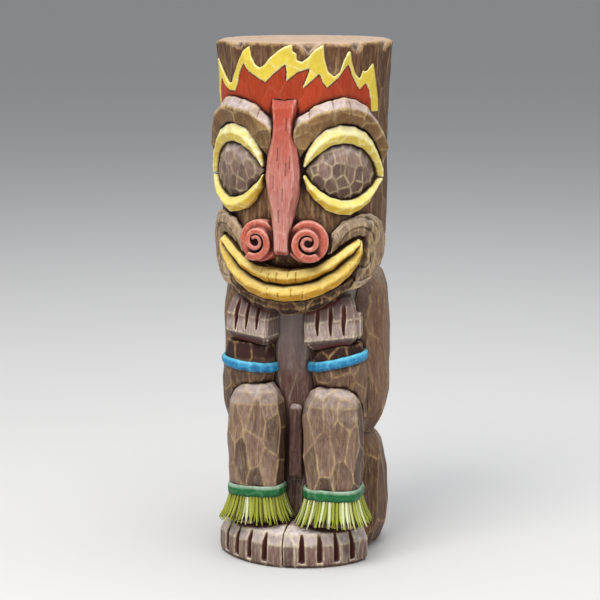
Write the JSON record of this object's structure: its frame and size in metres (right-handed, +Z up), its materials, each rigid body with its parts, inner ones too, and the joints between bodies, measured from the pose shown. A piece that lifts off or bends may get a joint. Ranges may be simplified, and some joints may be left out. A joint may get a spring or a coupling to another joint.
{
  "type": "tiki figure",
  "caption": "Free-standing squatting tiki figure in the shape of a carved log, with painted relief face, folded arms and grass ankle fringes, to stand on flat ground.",
  "frame": {"origin": "centre of the bounding box on the ground plane, under the figure", "axes": "+Z up; the face looks along -Y; +X is towards the figure's own left hand"},
  "size_m": [0.1778, 0.1845, 0.508],
  "materials": {
    "brown_wash": "cast resin with wood grain and chisel facets, dark brown wash, tan dry-brushed ridges, satin clear coat",
    "brow_wash": "cast resin, grey-mauve top bevel over brown facets, satin clear coat",
    "eyeball_wash": "cast resin, small chiselled cells with tan ridges, satin clear coat",
    "yellow_paint": "hand-painted yellow over chisel facets, darker yellow in the hollows",
    "red_paint": "hand-painted red, streaked paler along the grain",
    "blue_paint": "hand-painted blue, pale brushed edges",
    "green_paint": "hand-painted dark green, pale brushed edges",
    "lime_paint": "hand-painted yellow-green strands over a dark ground",
    "base_board": "plain dark resin board"
  },
  "bodies": {
    "root": {"head_block": "brown_wash", "crest_yellow": "yellow_paint", "crest_red": "red_paint", "jaw": "brown_wash", "brow_left": "brow_wash", "brow_right": "brow_wash", "eyeball_left": "eyeball_wash", "eyeball_right": "eyeball_wash", "upper_lid_left": "yellow_paint", "upper_lid_right": "yellow_paint", "lower_lid_left": "yellow_paint", "lower_lid_right": "yellow_paint", "nose_bridge": "red_paint", "nostril_scroll_left": "red_paint", "nostril_scroll_right": "red_paint", "cheek_left": "brown_wash", "cheek_right": "brown_wash", "upper_lip": "yellow_paint", "lower_lip": "yellow_paint", "torso": "brown_wash", "upper_arm_left": "brown_wash", "upper_arm_right": "brown_wash", "forearm_left": "brown_wash", "forearm_right": "brown_wash", "hand_left": "brown_wash", "hand_right": "brown_wash", "wrist_band_left": "blue_paint", "wrist_band_right": "blue_paint", "loin_block": "brown_wash", "leg_left": "brown_wash", "leg_right": "brown_wash", "haunch_left": "brown_wash", "haunch_right": "brown_wash", "ankle_band_left": "green_paint", "ankle_band_right": "green_paint", "grass_fringe_left": "lime_paint", "grass_fringe_right": "lime_paint", "foot_left": "brown_wash", "foot_right": "brown_wash", "base_plate": "base_board"}
  },
  "joints": []
}
